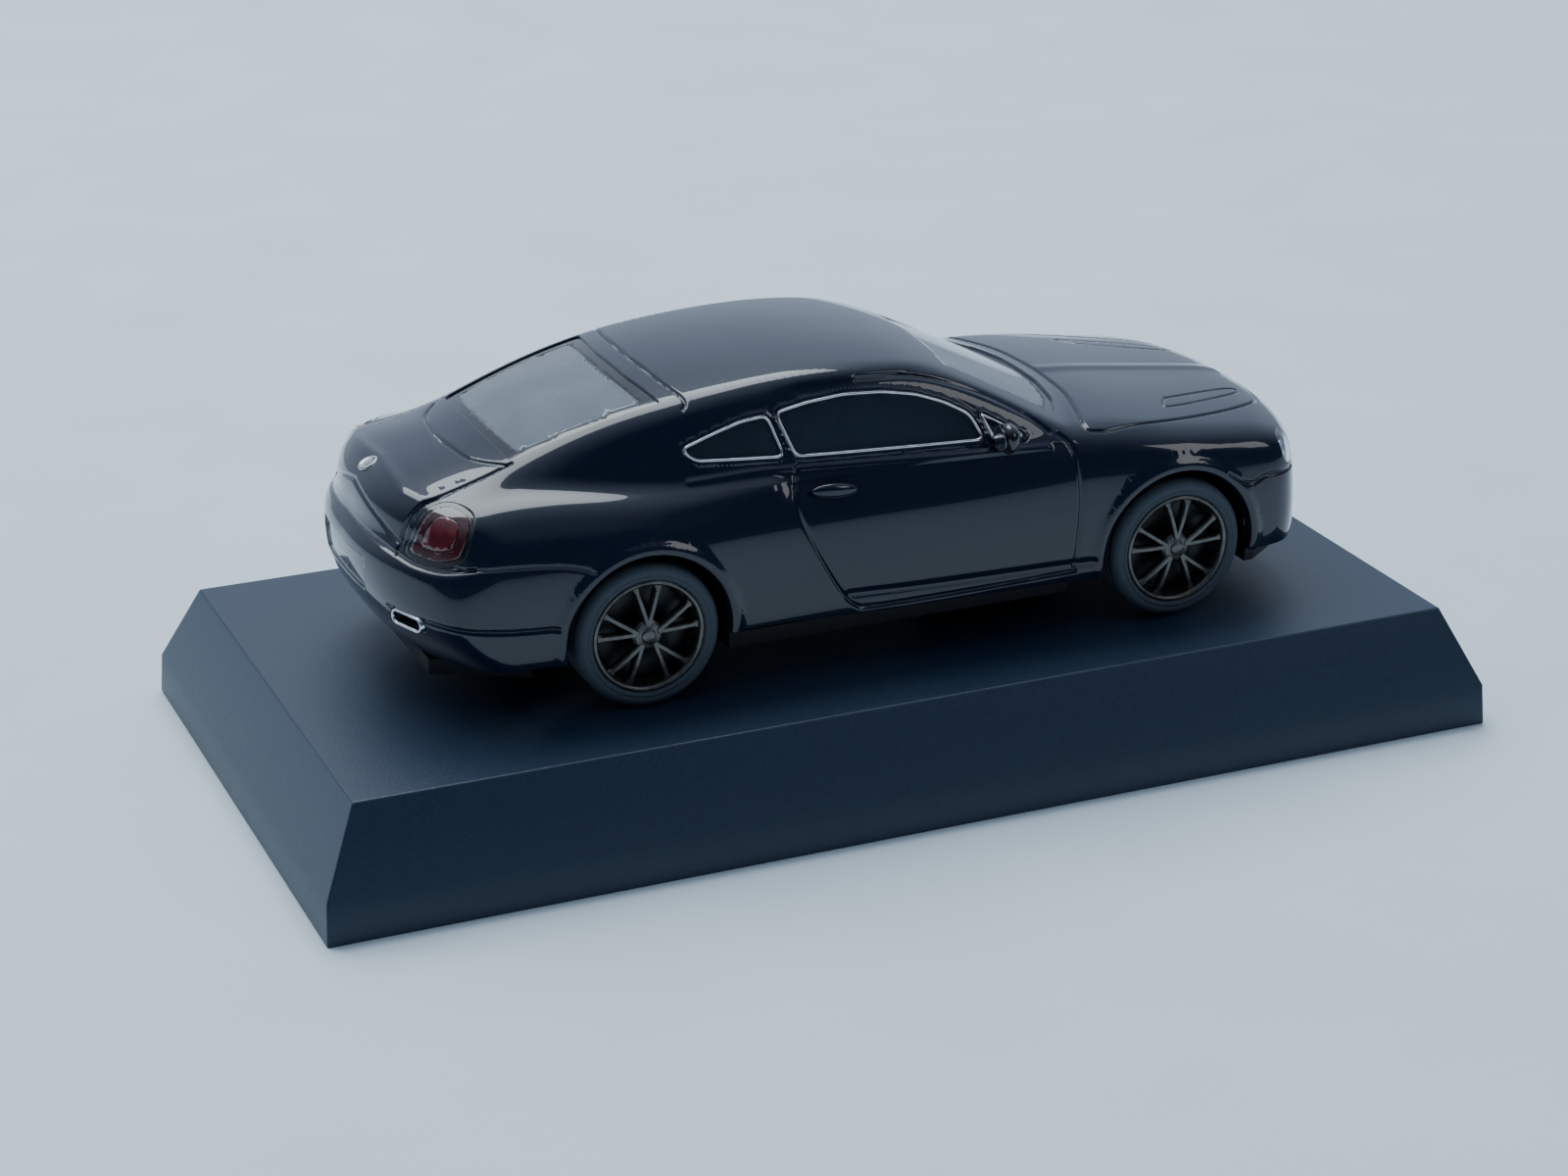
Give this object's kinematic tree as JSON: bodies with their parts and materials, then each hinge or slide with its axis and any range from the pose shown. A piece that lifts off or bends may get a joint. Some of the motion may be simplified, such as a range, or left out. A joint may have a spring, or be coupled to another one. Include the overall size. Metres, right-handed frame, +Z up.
{
  "type": "die-cast display car",
  "caption": "Small-scale die-cast two-door coupe with rolling wheels, screwed to a low bevelled plastic display base.",
  "frame": {"origin": "centre of the display base's underside, on the surface that it stands on", "axes": "+X towards the car's front, +Y towards the car's left side, +Z up"},
  "size_m": [0.0926, 0.0472, 0.0316],
  "materials": {
    "base_plastic": "satin black moulded plastic",
    "screw_steel": "zinc-plated",
    "chassis_plastic": "satin black",
    "body_paint": "gloss black",
    "clear_plastic": "clear polished",
    "cabin_plastic": "matt black",
    "grille_plastic": "dark satin",
    "bright_trim": "silver print",
    "lamp_red": "smoked red",
    "lamp_clear": "clear polished",
    "axle_steel": "plain",
    "rim_metal": "dark gunmetal",
    "tyre_rubber": "matt"
  },
  "bodies": {
    "display_car": {"display_base": "base_plastic", "base_screw_front": "screw_steel", "base_screw_rear": "screw_steel", "chassis_plate": "chassis_plastic", "chassis_screw_front": "screw_steel", "chassis_screw_rear": "screw_steel", "body_shell": "body_paint", "glazing": "clear_plastic", "interior_tub": "cabin_plastic", "steering_wheel": "cabin_plastic", "main_grille": "grille_plastic", "lower_grille": "grille_plastic", "front_splitter": "chassis_plastic", "boot_badge": "bright_trim", "tail_lamp_left": "lamp_red", "tail_lamp_right": "lamp_red", "headlamp_outer_left": "lamp_clear", "headlamp_outer_right": "lamp_clear", "headlamp_inner_left": "lamp_clear", "headlamp_inner_right": "lamp_clear", "door_mirror_left": "body_paint", "door_mirror_right": "body_paint", "exhaust_trim_left": "bright_trim", "exhaust_trim_right": "bright_trim"},
    "front_wheelset": {"front_axle": "axle_steel", "front_rim_left": "rim_metal", "front_rim_right": "rim_metal", "front_tyre_left": "tyre_rubber", "front_tyre_right": "tyre_rubber"},
    "rear_wheelset": {"rear_axle": "axle_steel", "rear_rim_left": "rim_metal", "rear_rim_right": "rim_metal", "rear_tyre_left": "tyre_rubber", "rear_tyre_right": "tyre_rubber"}
  },
  "joints": [
    {"name": "front_wheels_roll", "type": "hinge", "parent": "display_car", "child": "front_wheelset", "pos_m": [0.0238, 0, 0.01472], "axis": [0, 1, 0], "continuous": true},
    {"name": "rear_wheels_roll", "type": "hinge", "parent": "display_car", "child": "rear_wheelset", "pos_m": [-0.0191, 0, 0.01472], "axis": [0, 1, 0], "continuous": true}
  ]
}
